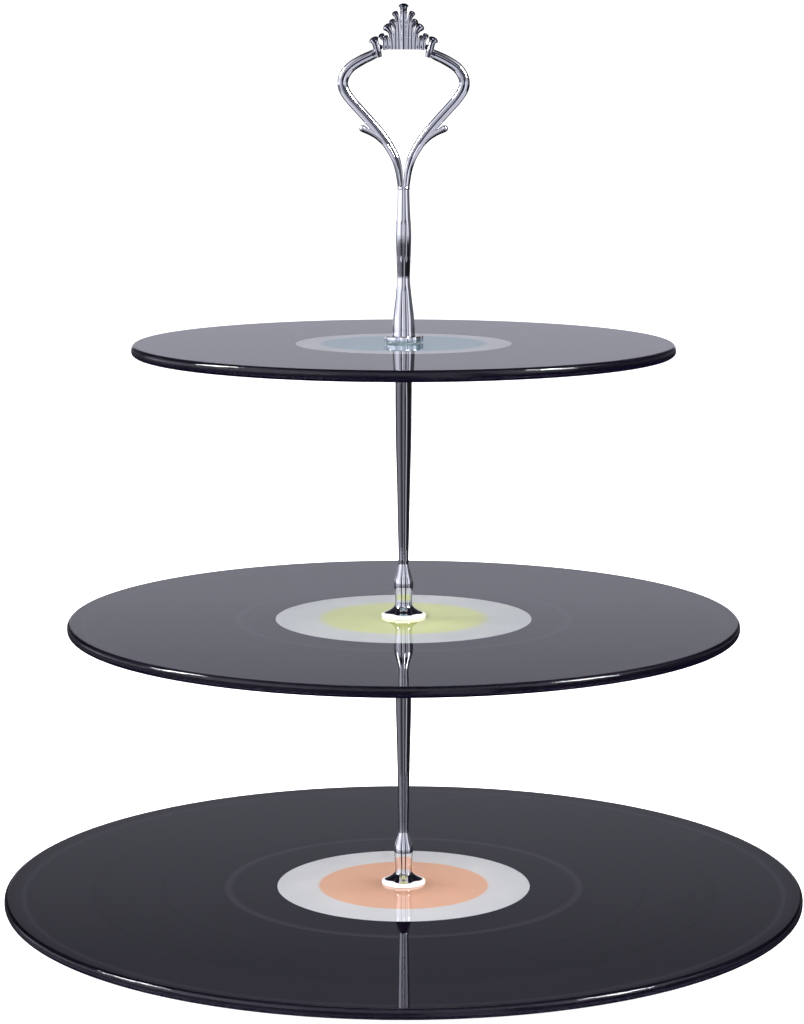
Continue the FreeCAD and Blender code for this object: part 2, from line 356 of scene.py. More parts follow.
@dataclass(frozen=True)
class PolishedGlass:
    """Clear tempered glass with a faint green body and a trace of dust."""

    name: str = "polished_glass"
    tint: Colour = (0.95, 0.985, 0.97)
    index: float = 1.5
    smudge: float = 0.012
    smudge_scale: float = 60.0

    def make(self) -> bpy.types.Material:
        """Builds the material."""
        graph = Graph(self.name)
        graph.set(Base_Color=(*self.tint, 1), IOR=self.index, Transmission_Weight=1.0)
        graph.wire(graph.between(graph.noise(self.smudge_scale), 0.0, self.smudge),
                   graph.shader.inputs["Roughness"])
        return graph.material


@dataclass(frozen=True)
class GroovedInk:
    """Black enamel ink with the fine circular grooves and bands of a record side."""

    name: str
    outer_radius: float
    inner_radius: float
    groove_pitch: float = 0.0011
    groove_share: float = 0.35
    groove_strength: float = 0.15
    groove_depth: float = 0.05 * MM
    dark: Colour = (0.0015, 0.0008, 0.0055)
    light: Colour = (0.034, 0.029, 0.045)
    smoothest: float = 0.3
    roughest: float = 0.42
    grain_scale: float = 90.0
    bands: Outline = ((0.0, 0.2), (0.16, 0.28), (0.18, 1.0), (0.192, 1.0), (0.205, 0.2), (0.42, 0.25),
                      (0.43, 0.06), (0.44, 0.25), (0.68, 0.17), (0.69, 0.05), (0.7, 0.23), (0.93, 0.18),
                      (0.945, 0.7), (0.96, 0.2), (0.985, 0.0))

    def make(self) -> bpy.types.Material:
        """Builds the material."""
        graph = Graph(self.name)
        radius = graph.radius()
        turns = graph.maths("MULTIPLY", radius, 2 * math.pi / self.groove_pitch)
        groove = graph.maths("MULTIPLY_ADD", graph.maths("SINE", turns), 0.5)
        groove.node.inputs[2].default_value = 0.5
        span = self.outer_radius - self.inner_radius
        share = graph.maths("DIVIDE", graph.maths("SUBTRACT", radius, self.inner_radius), span)
        bands = graph.greys(share, self.bands)
        lit = graph.maths("ADD", graph.maths("MULTIPLY", groove, self.groove_share), 1 - self.groove_share)
        ink = graph.mix(graph.maths("MULTIPLY", lit, bands), self.dark, self.light)
        graph.wire(ink, graph.shader.inputs["Base Color"])
        graph.wire(graph.between(graph.noise(self.grain_scale), self.smoothest, self.roughest),
                   graph.shader.inputs["Roughness"])
        graph.set(Specular_IOR_Level=0.0)
        graph.bump(groove, self.groove_strength, self.groove_depth)
        return graph.material


@dataclass(frozen=True)
class LabelInk:
    """Printed label colour, mottled a little, that may fade into the ring around it."""

    name: str
    colour: Colour
    rim_colour: Colour
    outer_radius: float
    fade: float
    mottle_scale: float = 70.0
    mottle_low: float = 0.93
    grain_scale: float = 120.0
    smoothest: float = 0.42
    roughest: float = 0.55

    def make(self) -> bpy.types.Material:
        """Builds the material."""
        graph = Graph(self.name)
        share = graph.maths("DIVIDE", graph.radius(), self.outer_radius)
        tint = graph.ramp(share, [(1.0 - self.fade, self.colour), (1.0, self.rim_colour)])
        mottle = graph.greys(graph.noise(self.mottle_scale, 5.0), ((0.3, self.mottle_low), (0.7, 1.0)))
        graph.wire(graph.shaded(tint, mottle), graph.shader.inputs["Base Color"])
        graph.wire(graph.between(graph.noise(self.grain_scale), self.smoothest, self.roughest),
                   graph.shader.inputs["Roughness"])
        graph.set(Specular_IOR_Level=0.0)
        return graph.material


@dataclass(frozen=True)
class Metal:
    """A metal finish: colour, polish, and the slight waviness left by casting or turning."""

    name: str
    colour: Colour
    smoothest: float
    roughest: float
    wave_scale: float
    wave_depth: float
    wave_strength: float = 0.35
    polish_scale: float = 400.0

    def graph(self) -> Graph:
        """Builds the finish and leaves its graph open."""
        graph = Graph(self.name)
        graph.set(Base_Color=(*self.colour, 1), Metallic=1.0)
        graph.wire(graph.between(graph.noise(self.polish_scale, 4.0), self.smoothest, self.roughest),
                   graph.shader.inputs["Roughness"])
        graph.bump(graph.noise(self.wave_scale, 2.0), self.wave_strength, self.wave_depth)
        return graph

    def make(self) -> bpy.types.Material:
        """Builds the material."""
        return self.graph().material


@dataclass(frozen=True)
class FlutedMetal(Metal):
    """A metal finish with painted shade: dark lines painted along the grooves of a fluted casting, where
    shade falls in the creases.
    """

    groove_angle: float = 13.125
    groove_half_width: float = 5.5
    groove_core: float = 0.25
    # colour of the painted shade along the grooves
    groove_shade_colour: Colour = (0.035, 0.04, 0.06)
    shaft_radius: float = 4.4 * MM

    def make(self) -> bpy.types.Material:
        """Builds the material, with the painted groove shade placed by its angle round the Z axis."""
        graph = self.graph()
        split = graph.add("ShaderNodeSeparateXYZ")
        graph.wire(graph.place, split.inputs["Vector"])
        turn = graph.maths("ARCTAN2", split.outputs["Y"], split.outputs["X"])
        offset = graph.maths("PINGPONG", turn, math.pi / 4)
        away = graph.maths("ABSOLUTE", graph.maths("SUBTRACT", offset, math.radians(self.groove_angle)))
        line = graph.add("ShaderNodeMapRange", interpolation_type="SMOOTHSTEP")
        line.inputs["From Min"].default_value = self.groove_core * math.radians(self.groove_half_width)
        line.inputs["From Max"].default_value = math.radians(self.groove_half_width)
        line.inputs["To Min"].default_value = 1.0
        line.inputs["To Max"].default_value = 0.0
        graph.wire(away, line.inputs["Value"])
        # painted shade: the base colour turns dark along the groove lines, on the slim shaft only
        slim = graph.maths("LESS_THAN", graph.radius(), self.shaft_radius)
        share = graph.maths("MULTIPLY", line.outputs["Result"], slim)
        graph.wire(graph.mix(share, self.colour, self.groove_shade_colour), graph.shader.inputs["Base Color"])
        return graph.material


@dataclass(frozen=True)
class Plastic:
    """Moulded plastic or rubber, opaque or partly clear, with a fine moulded grain."""

    name: str
    colour: Colour
    roughness: float
    clarity: float = 0.0
    scatter: float = 0.0
    scatter_depth: float = 1.0 * MM
    mottle_scale: float = 500.0
    mottle_low: float = 0.94
    polish_scale: float = 900.0
    roughness_spread: float = 0.06
    grain_scale: float = 2500.0
    grain_strength: float = 0.2
    grain_depth: float = 0.03 * MM

    def make(self) -> bpy.types.Material:
        """Builds the material."""
        graph = Graph(self.name)
        graph.set(Transmission_Weight=self.clarity, Subsurface_Weight=self.scatter,
                  Subsurface_Scale=self.scatter_depth)
        low = tuple(self.mottle_low * part for part in self.colour)
        graph.wire(graph.ramp(graph.noise(self.mottle_scale), [(0.35, low), (0.65, self.colour)]),
                   graph.shader.inputs["Base Color"])
        spread = self.roughness_spread
        polish = graph.noise(self.polish_scale)
        graph.wire(graph.between(polish, self.roughness - spread, self.roughness + spread),
                   graph.shader.inputs["Roughness"])
        graph.bump(graph.noise(self.grain_scale), self.grain_strength, self.grain_depth)
        return graph.material


CHROME_COLOUR = (0.86, 0.865, 0.89)
CHROME = Metal("bright_chrome", CHROME_COLOUR, 0.035, 0.07, 260.0, 0.12 * MM)
# chrome with painted shade along its grooves
FLUTED_CHROME = FlutedMetal("fluted_chrome_groove_shade", CHROME_COLOUR, 0.035, 0.07, 260.0, 0.12 * MM)
# dark copy of the chrome, used as painted shade in grooves, on leaf caps and on the web
SHADED_CHROME = Metal("painted_shade_chrome", (0.06, 0.065, 0.09), 0.12, 0.2, 260.0, 0.12 * MM)
ZINC_STEEL = Metal("zinc_plated_steel", (0.6, 0.6, 0.58), 0.22, 0.36, 1500.0, 0.04 * MM)
WHITE_PLASTIC = Plastic("white_moulded_plastic", (0.86, 0.86, 0.85), 0.32, scatter=0.2)
CLEAR_PLASTIC = Plastic("clear_soft_plastic", (0.9, 0.93, 0.93), 0.2, clarity=0.8)
FOOT_RUBBER = Plastic("clear_bumper_rubber", (0.62, 0.64, 0.64), 0.4, clarity=0.45)


def dress(piece: bpy.types.Object, material: bpy.types.Material) -> None:
    """Gives a piece one material all over."""
    piece.data.materials.clear()
    piece.data.materials.append(material)


def place(piece: bpy.types.Object, body: str, slot: str, *nodes: str) -> None:
    """Hands a finished piece over to its body and hides the nodes that it stands for; the slot is not used.
    """
    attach(piece, body)
    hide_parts(*nodes)
    log.info("%s rides on %s for %s", piece.name, body, ", ".join(nodes))


# ---------------------------------------------------------------- plates
class Tier(Enum):
    """The three tiers, each with its node prefix and its body."""

    BOTTOM = ("bottom", "base")
    MIDDLE = ("middle", "middle_tier")
    TOP = ("top", "top_tier")

    @property
    def prefix(self) -> str:
        """The first word of the tier's node names."""
        return self.value[0]

    @property
    def body(self) -> str:
        """The body that the tier's pieces ride on."""
        return self.value[1]


@dataclass(frozen=True)
class LabelColours:
    """Colours of one printed label, and how softly its centre fades into its ring."""

    disc: Colour
    ring: Colour
    slot: str
    fade: float


@dataclass
class Plate:
    """One glass plate with its printed record side and label underneath."""

    tier: Tier
    colours: LabelColours
    segments: int = 288
    edge_radius: float = 1.5 * MM
    edge_steps: int = 8
    hole_bevel: float = 0.4 * MM
    ink_sink: float = 0.02 * MM
    support: float = 0.15 * MM
    # the ink lip up the rounded lower edge is painted shade that darkens the rim
    shade_lip_step: float = 0.3
    shade_lip_start: float = -60.0
    shade_lip_end: float = -3.0
    hole_radius: float = 4.0 * MM

    def node(self, part: str) -> str:
        """The name of one of this tier's nodes."""
        return f"{self.tier.prefix}_{part}"

    def levels(self, part: str) -> tuple[float, float, float]:
        """The outer radius, underside and top of one of this tier's nodes."""
        low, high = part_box(self.node(part))
        return max(high.x, high.y, -low.x, -low.y), low.z, high.z

    def glass(self, material: bpy.types.Material) -> None:
        """Builds the slab with round polished edges and a bevelled hole."""
        outer, low, high = self.levels("plate")
        hole_radius = self.hole_radius
        r, b, s = self.edge_radius, self.hole_bevel, self.support
        outline = [(hole_radius, low + b), (hole_radius + b, low), (hole_radius + b + s, low),
                   (outer - r - s, low)]
        outline += arc((outer - r, low + r), r, -90, 0, self.edge_steps)
        outline += arc((outer - r, high - r), r, 0, 90, self.edge_steps)
        outline += [(outer - r - s, high), (hole_radius + b + s, high), (hole_radius + b, high),
                    (hole_radius, high - b)]
        piece = finish_piece(lathe(self.node("glass_slab"), outline, self.segments, True))
        dress(piece, material)
        place(piece, self.tier.body, "glass", self.node("plate"))

    def flat_ring(self, name: str, outer: float, inner: float, low: float,
                  high: float) -> bpy.types.Object:
        """Builds one flat printed ring."""
        outline = [(inner, low), (outer, low), (outer, high), (inner, high)]
        return finish_piece(lathe(name, outline, self.segments, True))

    def record_side(self, inner: float) -> None:
        """Builds the black ink layer, with a lip of painted shade: dark ink carried up the rounded lower edge
        of the glass to darken the rim.
        """
        outer, low, _ = self.levels("print")
        rim, glass_low, _ = self.levels("plate")
        r = self.edge_radius
        top = glass_low + self.ink_sink
        inside = r - self.ink_sink
        # painted shade: the lip carries the black ink up the rounded lower edge of the glass
        shade_lip = arc((rim - r, glass_low + r), inside, -90, self.shade_lip_end, self.edge_steps)
        outline = [(inner, low), (outer, low), (rim - r + self.shade_lip_step * r, glass_low)]
        outline += arc((rim - r, glass_low + r), r, self.shade_lip_start, self.shade_lip_end, 5)
        outline += list(reversed(shade_lip)) + [(inner, top)]
        piece = finish_piece(lathe(self.node("record_side"), outline, self.segments, True))
        dress(piece, GroovedInk(self.node("grooved_ink"), outer, inner).make())
        place(piece, self.tier.body, "black_print", self.node("print"))

    def label(self) -> float:
        """Builds the label's ring and coloured centre.

        Returns:
            The outer radius of the label.
        """
        ring_radius, low, high = self.levels("label_ring")
        disc_radius = self.levels("label_disc")[0]
        top = high + self.ink_sink
        ring = self.flat_ring(self.node("label_border"), ring_radius, disc_radius, low, top)
        dress(ring, LabelInk(self.node("label_ring_ink"), self.colours.ring, self.colours.ring, ring_radius,
                             self.colours.fade).make())
        place(ring, self.tier.body, "label_grey", self.node("label_ring"))
        disc = self.flat_ring(self.node("label_centre"), disc_radius, self.hole_radius, low, top)
        dress(disc, LabelInk(self.node("label_disc_ink"), self.colours.disc, self.colours.ring, disc_radius,
                             self.colours.fade).make())
        place(disc, self.tier.body, self.colours.slot, self.node("label_disc"))
        return ring_radius

    def build(self, glass: bpy.types.Material) -> None:
        """Builds the whole plate."""
        self.glass(glass)
        self.record_side(self.label())


# ---------------------------------------------------------------- castings
@dataclass(frozen=True)
class Fluting:
    """The cross-section of the castings: narrow ribs to the four sides and wide lobes between them."""

    segments: int = 96
    rib_half_angle: float = 13.125
    depth: float = 0.1
    line_depth: float = 0.07

    def offset(self, point: Vector) -> float:
        """The angle in degrees between a point and the nearest side, from 0 to 45."""
        turn = math.degrees(math.atan2(point.y, point.x)) % 90
        return min(turn, 90 - turn)

    def offsets(self) -> list[float]:
        """Every offset that a ring's points have."""
        step = 360 / self.segments
        return [step * (k + 0.5) for k in range(self.segments // 8)]

    def share(self, offset: float) -> float:
        """The radius at an offset, as a share of the full radius."""
        if abs(offset - self.rib_half_angle) < SAME_ANGLE:
            return 1 - self.depth - self.line_depth
        if offset < self.rib_half_angle:
            return 1 - self.depth * (offset / self.rib_half_angle) ** 3
        half = 45 - self.rib_half_angle
        return 1 - self.depth * ((45 - offset) / half) ** 2


@dataclass(frozen=True)
class Petals:
    """The outline of a pillar's foot: four petals towards the four sides."""

    tip_radius: float
    notch_radius: float

    def share(self, offset: float) -> float:
        """The radius at an offset from a petal's middle, as a share of the tip radius."""
        tip, notch = self.tip_radius, self.notch_radius
        centre = (tip * tip - notch * notch) / (2 * tip - 2 * notch * math.cos(math.pi / 4))
        round_radius = tip - centre
        a = math.radians(offset)
        reach = centre * math.cos(a) + math.sqrt(round_radius ** 2 - (centre * math.sin(a)) ** 2)
        return reach / tip

    def softened(self, offset: float, roundness: float) -> float:
        """The share at an offset for a section part of the way from the petals (0) to a circle (1)."""
        return roundness + (1 - roundness) * self.share(offset)


class Casting:
    """A chromed casting that is turned ring by ring and then given its fluted section."""

    def __init__(self, fluting: Fluting) -> None:
        """Keeps the section."""
        self.fluting = fluting

    def turn(self, name: str, rings: Outline) -> bpy.types.Object:
        """Turns the blank, with its points between the grooves' lines."""
        radius, height = rings[0]
        piece = open_ring(name, radius, height, self.fluting.segments)
        half_step = math.pi / self.fluting.segments
        bpy.ops.transform.rotate(value=half_step, orient_axis="Z", center_override=(0, 0, 0))
        for next_radius, next_height in rings[1:]:
            grow(next_radius / radius, next_height - height)
            radius, height = next_radius, next_height
        return piece

    def shape(self, low: float, high: float, share: Callable[[float], float], inside: float) -> None:
        """Scales the points between two heights by a share for each offset from the sides.

        Args:
            low: lowest height that is shaped.
            high: highest height that is shaped.
            share: gives the share for an offset in degrees.
            inside: points nearer to the axis than this stay round.
        """
        for offset in self.fluting.offsets():

            def on_line(point: Vector, line: float = offset) -> bool:
                """Whether a point lies on this line and in the span."""
                near = abs(self.fluting.offset(point) - line) < LINE_REACH
                return low <= point.z <= high and near and point.xy.length > inside

            pick(on_line)
            factor = share(offset)
            bpy.ops.transform.resize(value=(factor, factor, 1), center_override=(0, 0, 0))


@dataclass
class Bore:
    """The blind hole for the thread in the foot of a casting."""

    radius: float = 2.05 * MM
    depth: float = 10.5 * MM
    lead_in: float = 0.3 * MM
    tip_radius: float = 0.05 * MM

    def rings(self, foot: float) -> list[tuple[float, float]]:
        """Rings from the bottom of the drilled cone out to the foot's face."""
        return [(self.tip_radius, foot + self.depth + 0.5 * self.radius), (self.radius, foot + self.depth),
                (self.radius, foot + self.lead_in), (self.radius + self.lead_in, foot)]


@dataclass
class Pillar(Casting):
    """A fluted pillar with a petal foot and a round seat for the plate above."""

    node: str
    body: str
    fluting: Fluting = field(default_factory=Fluting)
    petals: Petals = Petals(7.35 * MM, 5.5 * MM)
    bore: Bore = field(default_factory=Bore)
    seat_height: float = 9.0 * MM
    core_radius: float = 1.615 * MM
    rim_height: float = 1.0 * MM
    slope_height: float = 1.8 * MM
    petal_height: float = 3.0 * MM
    rim_inside: float = 5.8 * MM
    slope_round: float = 0.4
    crest_round: float = 0.8
    flute_runout: float = 0.5 * MM
    stud_radius: float = 2.0 * MM
    stud_depth: float = 8.0 * MM
    bulb: tuple = ((3.3, 3.3), (5.5, 3.2), (8.2, 3.45), (11.3, 3.65), (13.6, 3.4), (15.8, 2.75), (18.0, 2.15),
                   (20.5, 1.9))
    taper: tuple = ((0.15, 2.13), (0.41, 2.5), (0.67, 2.95), (0.9, 3.1))
    foot: tuple = ((7.1, 0.0), (7.29, 0.08), (7.35, 0.3), (7.31, 0.5), (7.05, 0.72), (5.6, 1.35), (4.3, 2.15),
                   (3.6, 2.75))
    seat: tuple = ((3.1, -9.0), (3.4, -7.6), (4.0, -5.0), (4.5, -3.25), (4.8, -2.8), (4.8, -0.3), (4.5, 0.0))

    def rings(self, foot: float, top: float) -> list[tuple[float, float]]:
        """The blank's rings, from inside the bore to inside the stud hole."""
        neck_height = self.bulb[-1][0] * MM
        run = top - self.seat_height - foot - neck_height
        shaft = [(h * MM, r * MM) for h, r in self.bulb]
        shaft += [(neck_height + share * run, r * MM) for share, r in self.taper]
        rings = self.bore.rings(foot)
        rings += [(r * MM, foot + h * MM) for r, h in self.foot]
        rings += [(r, foot + h) for h, r in through(shaft, 7)]
        rings += [(r * MM, top + h * MM) for r, h in self.seat]
        stud_foot = top - self.stud_depth
        rings += [(self.stud_radius, top), (self.stud_radius, stud_foot), (0.0, stud_foot)]
        return rings

    def build(self, chrome: bpy.types.Material) -> None:
        """Builds and dresses the pillar."""
        low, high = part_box(self.node)
        foot, top = low.z, high.z
        flare = top - self.seat_height
        piece = self.turn(f"{self.node}_casting", self.rings(foot, top))
        inside = self.bore.radius + 2 * self.bore.lead_in
        rim, slope, shaft = foot + self.rim_height, foot + self.slope_height, foot + self.petal_height
        self.shape(foot - SEAM, rim, self.petals.share, self.rim_inside)
        self.shape(rim, slope, lambda a: self.petals.softened(a, self.slope_round), inside)
        self.shape(slope, shaft, lambda a: self.petals.softened(a, self.crest_round), inside)
        self.shape(shaft, flare + self.flute_runout, self.fluting.share, self.core_radius)
        finish_piece(piece, 28.0)
        dress(piece, chrome)
        place(piece, self.body, "chrome", self.node)


@dataclass(frozen=True)
class Station:
    """One section of a swept bar: its place in the loop's plane and its half-width."""

    x: float
    z: float
    radius: float


@dataclass(frozen=True)
class BarSection:
    """The section of a swept bar, with a groove along its front and its back."""

    points: int = 32
    depth_share: float = 0.9
    groove: float = 0.34
    groove_half_angle: float = 34.0

    def shape(self) -> None:
        """Shapes the selected unit ring: presses the grooves in and flattens it front to back."""
        step = 360 / self.points
        for k in range(int(self.groove_half_angle / step) + 1):
            off = k * step

            def in_groove(point: Vector, line: float = off) -> bool:
                """Whether a point lies at this angle from the front or the back."""
                turn = math.degrees(math.atan2(abs(point.x), abs(point.y)))
                return abs(turn - line) < 0.5 * step

            pick(in_groove)
            factor = 1 - self.groove * (1 - off / self.groove_half_angle)
            bpy.ops.transform.resize(value=(factor, factor, 1), center_override=(0, 0, 0))
        bpy.ops.mesh.select_all(action="SELECT")
        bpy.ops.transform.resize(value=(1, self.depth_share, 1), center_override=(0, 0, 0))


def tilt_section(angle: float, centre: tuple[float, float, float]) -> None:
    """Turns the selected points about Y so that +Z leans towards +X by the angle, in radians."""
    bpy.ops.transform.rotate(value=-angle, orient_axis="Y", center_override=centre)


def sweep(name: str, stations: Sequence[Station], section: BarSection) -> bpy.types.Object:
    """Draws a bar through its stations in the loop's plane and closes its ends.

    Args:
        name: name of the new bar.
        stations: the sections from the first end to the last.
        section: the shape of every section.

    Returns:
        The finished bar.
    """
    heads = []
    for before, after in zip([stations[0], *stations], [*stations[1:], stations[-1]]):
        heads.append(math.atan2(after.x - before.x, after.z - before.z))
    piece = open_ring(name, 1.0, 0.0, section.points)
    section.shape()
    first = stations[0]
    bpy.ops.transform.resize(value=(first.radius,) * 3, center_override=(0, 0, 0))
    tilt_section(heads[0], (0, 0, 0))
    bpy.ops.transform.translate(value=(first.x, 0, first.z))
    for before, now, old_head, head in zip(stations, stations[1:], heads, heads[1:]):
        bpy.ops.mesh.extrude_region_move(
            TRANSFORM_OT_translate={"value": (now.x - before.x, 0, now.z - before.z)})
        centre = (now.x, 0, now.z)
        tilt_section(head - old_head, centre)
        bpy.ops.transform.resize(value=(now.radius / before.radius,) * 3, center_override=centre)
    return finish_piece(piece, 30.0)


def off_line(point: Vector, stations: Sequence[Station]) -> float:
    """How far a point lies from a bar's middle line in the loop's plane, as a share of its half-width."""
    best = math.inf
    for start, end in zip(stations, stations[1:]):
        run_x, run_z = end.x - start.x, end.z - start.z
        length = run_x * run_x + run_z * run_z
        if length > 0:
            t = ((point.x - start.x) * run_x + (point.z - start.z) * run_z) / length
            t = min(1.0, max(0.0, t))
            away = math.hypot(point.x - start.x - t * run_x, point.z - start.z - t * run_z)
            best = min(best, away / start.radius)
    return best


ROUND_END = (25, 45, 62, 76, 86)        # degrees round the rounded end of a bar


def stations_through(points: Sequence[tuple[float, float, float]], side: int, foot: float,
                     steps: int, flat: float = 1.0) -> list[Station]:
    """Stations through given (x, height, half-width) points in millimetres, with a round end.

    Args:
        points: points on the right-hand side of the handle.
        side: 1 for the right-hand side and -1 for the left.
        foot: height of the handle's foot.
        steps: steps between two points.
        flat: height of the round end as a share of its half-width.

    Returns:
        The stations in metres.
    """
    run = [Station(side * x * MM, foot + z * MM, r * MM) for x, z, r in through(points, steps)]
    last, before = run[-1], run[-2]
    length = math.hypot(last.x - before.x, last.z - before.z)
    ahead = ((last.x - before.x) / length, (last.z - before.z) / length)
    for angle in ROUND_END:
        reach = flat * last.radius * math.sin(math.radians(angle))
        run.append(Station(last.x + ahead[0] * reach, last.z + ahead[1] * reach,
                           last.radius * math.cos(math.radians(angle))))
    return run


@dataclass
class CrownHandle(Casting):
    """The top casting: lobed foot, fluted stem, open loop with side curls, and crown."""

    node: str = "crown_handle"
    body: str = "handle"
    fluting: Fluting = field(default_factory=Fluting)
    bore: Bore = field(default_factory=Bore)
    flange: tuple = ((7.1, 0.0), (7.3, 0.1), (7.35, 0.3), (7.35, 1.7), (7.27, 2.0), (7.0, 2.2), (5.4, 2.2),
                     (4.55, 2.28))
    stem: tuple = ((2.2, 4.3), (3.4, 4.2), (6.0, 4.1), (10.0, 3.85), (16.0, 3.1), (22.5, 2.42), (27.0, 2.48),
                   (32.5, 2.7), (38.0, 2.87), (42.0, 2.8), (47.0, 2.5), (52.0, 2.28), (56.5, 2.15))
    collar: tuple = ((2.3, 56.6), (2.35, 57.0), (2.2, 57.4), (2.05, 57.5), (0.0, 57.5))
    arm: tuple = ((0.95, 55.5, 1.1), (1.2, 59.5, 1.2), (1.85, 64.0, 1.4), (3.1, 68.2, 1.65),
                  (5.5, 72.6, 1.8), (8.5, 76.9, 1.85), (12.3, 81.4, 1.85), (16.3, 85.8, 1.85),
                  (20.0, 90.0, 1.9), (22.25, 93.9, 2.0), (22.1, 97.6, 2.0), (19.7, 101.2, 1.95),
                  (15.6, 103.9, 1.9), (11.6, 105.8, 1.8), (9.9, 106.8, 1.5))
    curl: tuple = ((1.5, 58.0, 0.8), (2.3, 63.5, 0.9), (3.9, 68.6, 1.05), (6.4, 72.8, 1.15), (9.4, 75.8, 1.2),
                   (12.4, 77.6, 1.2), (14.4, 78.5, 1.25), (15.1, 78.9, 1.35))
    scroll: tuple = ((9.0, 104.9, 1.1), (9.5, 106.8, 1.35), (10.1, 109.2, 1.3), (10.6, 110.6, 1.35),
                     (10.9, 111.2, 1.95))
    leaves: tuple = (((0.0, 107.8, 1.3), (0.0, 114.0, 1.35), (0.0, 122.3, 1.3), (0.0, 123.4, 1.9)),
                     ((1.7, 107.8, 0.9), (1.8, 113.6, 0.85), (2.2, 118.6, 0.8), (3.2, 121.0, 1.2)),
                     ((2.9, 107.8, 0.9), (2.9, 112.0, 0.85), (3.2, 116.0, 0.8), (4.3, 118.1, 1.25)),
                     ((4.2, 107.8, 0.95), (4.3, 110.8, 0.95), (4.8, 114.0, 0.9), (6.1, 116.0, 1.75)),
                     ((5.7, 107.8, 0.85), (5.8, 109.5, 0.85), (6.1, 111.2, 0.8), (6.6, 112.4, 0.95)),
                     ((7.2, 107.6, 0.85), (7.3, 109.4, 0.85), (7.6, 111.6, 0.85), (8.2, 112.9, 1.2)))
    cap_flat: float = 0.62
    # line_share and cap_drop set where the painted shade goes on the bars
    line_share: float = 0.24
    cap_drop: float = 1.0 * MM
    web_length: float = 18.4 * MM
    web_height: float = 108.7 * MM
    web_radius: float = 0.85 * MM

    def stem_blank(self, foot: float) -> bpy.types.Object:
        """Turns and flutes the foot and the stem."""
        rings = self.bore.rings(foot)
        rings += [(r * MM, foot + h * MM) for r, h in self.flange]
        rings += through([(r * MM, foot + h * MM) for h, r in self.stem], 5)
        rings += [(r * MM, foot + h * MM) for r, h in self.collar]
        piece = self.turn("handle_stem", rings)
        self.shape(foot - SEAM, math.inf, self.fluting.share, self.bore.radius + 2 * self.bore.lead_in)
        return finish_piece(piece, 28.0)

    def grooved(self, name: str, stations: Sequence[Station], section: BarSection, cap: float,
                chrome: bpy.types.Material, shade_chrome: bpy.types.Material) -> bpy.types.Object:
        """Sweeps one bar of chrome with painted shade along its grooves.

        Args:
            name: name of the bar.
            stations: its sections.
            section: the shape of every section.
            cap: height above which the whole bar is painted shade.
            chrome: the finish all over.
            shade_chrome: the dark copy of the chrome that paints shade in the grooves.

        Returns:
            The dressed bar.
        """
        piece = sweep(name, stations, section)
        dress(piece, chrome)
        share = self.line_share
        # painted shade: faces along a bar's groove, and a leaf's whole cap, take the dark chrome
        line_faces(piece, shade_chrome, lambda middle: middle.z > cap or off_line(middle, stations) < share)
        return piece

    def build(self, chrome: bpy.types.Material, fluted: bpy.types.Material) -> None:
        """Builds and dresses the handle."""
        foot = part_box(self.node)[0].z
        shade_chrome = SHADED_CHROME.make()
        stem = self.stem_blank(foot)
        dress(stem, fluted)
        bar = BarSection()
        rod = BarSection(points=16, depth_share=1.15, groove=0.0)
        leaf = BarSection(points=24, depth_share=1.4, groove=0.22)
        bars, leaves = [], []
        for side in (-1, 1):
            arm = stations_through(self.arm, side, foot, 4)
            bars.append(self.grooved("arm", arm, bar, math.inf, chrome, shade_chrome))
            bars.append(sweep("curl", stations_through(self.curl, side, foot, 4), rod))
            dress(bars[-1], chrome)
            leaves.append((self.scroll, side))
        web = [Station(-self.web_length / 2, foot + self.web_height, self.web_radius),
               Station(self.web_length / 2, foot + self.web_height, self.web_radius)]
        bars.append(sweep("web", web, rod))
        # painted shade: the web between the leaves is dark chrome all over
        dress(bars[-1], shade_chrome)
        for points in self.leaves:
            leaves += [(points, side) for side in ((-1, 1) if points[0][0] else (1,))]
        for points, side in leaves:
            stations = stations_through(points, side, foot, 4, self.cap_flat)
            bars.append(self.grooved("leaf", stations, leaf, stations[-1].z - self.cap_drop, chrome, shade_chrome))
        piece = join([stem, *bars], "crown_handle_casting")
        place(piece, self.body, "chrome", self.node)


# ---------------------------------------------------------------- small pieces
@dataclass
class Washer:
    """A flat washer with softly rounded rims."""

    node: str
    body: str
    slot: str
    finish: Plastic | Metal
    segments: int = 96
    hole_radius: float = 2.15 * MM
    clearance: float = 0.02 * MM
    rounding_share: float = 0.3
    bevel_share: float = 0.15

    def build(self) -> None:
        """Builds and dresses the washer."""
        low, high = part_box(self.node)
        outer, top = high.x, high.z - self.clearance
        r = self.rounding_share * (top - low.z)
        bevel = self.bevel_share * (top - low.z)
        outline = [(self.hole_radius, low.z + bevel), (self.hole_radius + bevel, low.z)]
        outline += arc((outer - r, low.z + r), r, -90, 0, 4)
        outline += arc((outer - r, top - r), r, 0, 90, 4)
        outline += [(self.hole_radius + bevel, top), (self.hole_radius, top - bevel)]
        piece = finish_piece(lathe(f"{self.node}_moulding", outline, self.segments, True))
        dress(piece, self.finish.make())
        place(piece, self.body, self.slot, self.node)


